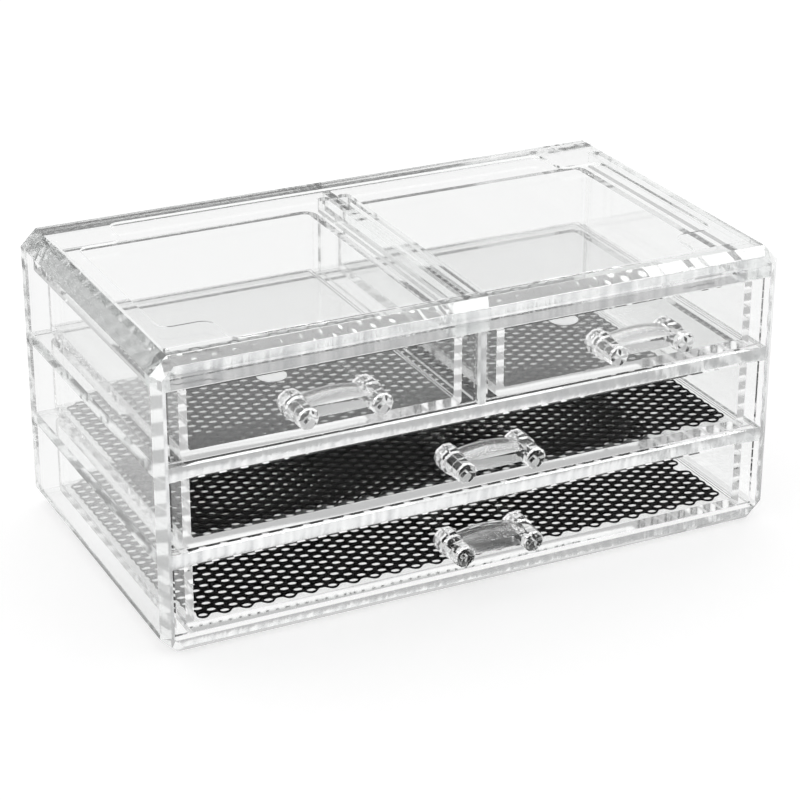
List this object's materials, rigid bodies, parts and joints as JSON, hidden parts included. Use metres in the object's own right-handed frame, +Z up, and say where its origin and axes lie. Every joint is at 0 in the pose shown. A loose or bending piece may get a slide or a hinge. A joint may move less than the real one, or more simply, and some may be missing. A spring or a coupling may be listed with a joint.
{
  "type": "jewellery box with drawers",
  "caption": "Clear plastic jewellery box: a cut-edged case with a stacking recess on top and sliding drawers, each pulled by two cut posts joined by an arched bow.",
  "frame": {"origin": "middle of the underside of the case", "axes": "+X to the right seen from the front, +Y from the drawer fronts to the back, +Z up"},
  "size_m": [0.238, 0.145, 0.108],
  "materials": {
    "case_clear": "polished clear",
    "drawer_clear": "polished clear",
    "handle_clear": "polished clear",
    "net_black": "matte foamed net"
  },
  "bodies": {
    "case": {"left_side_panel": "case_clear", "right_side_panel": "case_clear", "back_panel": "case_clear", "base_panel": "case_clear", "lower_shelf": "case_clear", "upper_shelf": "case_clear", "centre_divider": "case_clear", "front_header": "case_clear", "top_panel": "case_clear", "left_side_rail": "case_clear", "left_divider_rail": "case_clear", "right_divider_rail": "case_clear", "right_side_rail": "case_clear"},
    "top_left_drawer": {"top_left_drawer": "drawer_clear", "top_left_handle": "handle_clear"},
    "top_right_drawer": {"top_right_drawer": "drawer_clear", "top_right_handle": "handle_clear"},
    "middle_drawer": {"middle_drawer": "drawer_clear", "middle_handle": "handle_clear", "middle_net_pad": "net_black"},
    "bottom_drawer": {"bottom_drawer": "drawer_clear", "bottom_handle": "handle_clear", "bottom_net_pad": "net_black"}
  },
  "joints": [
    {"name": "top_left_slide", "type": "slide", "parent": "case", "child": "top_left_drawer", "axis": [0, -1, 0], "range_m": [0, 0.1]},
    {"name": "top_right_slide", "type": "slide", "parent": "case", "child": "top_right_drawer", "axis": [0, -1, 0], "range_m": [0, 0.1]},
    {"name": "middle_slide", "type": "slide", "parent": "case", "child": "middle_drawer", "axis": [0, -1, 0], "range_m": [0, 0.1]},
    {"name": "bottom_slide", "type": "slide", "parent": "case", "child": "bottom_drawer", "axis": [0, -1, 0], "range_m": [0, 0.1]}
  ]
}
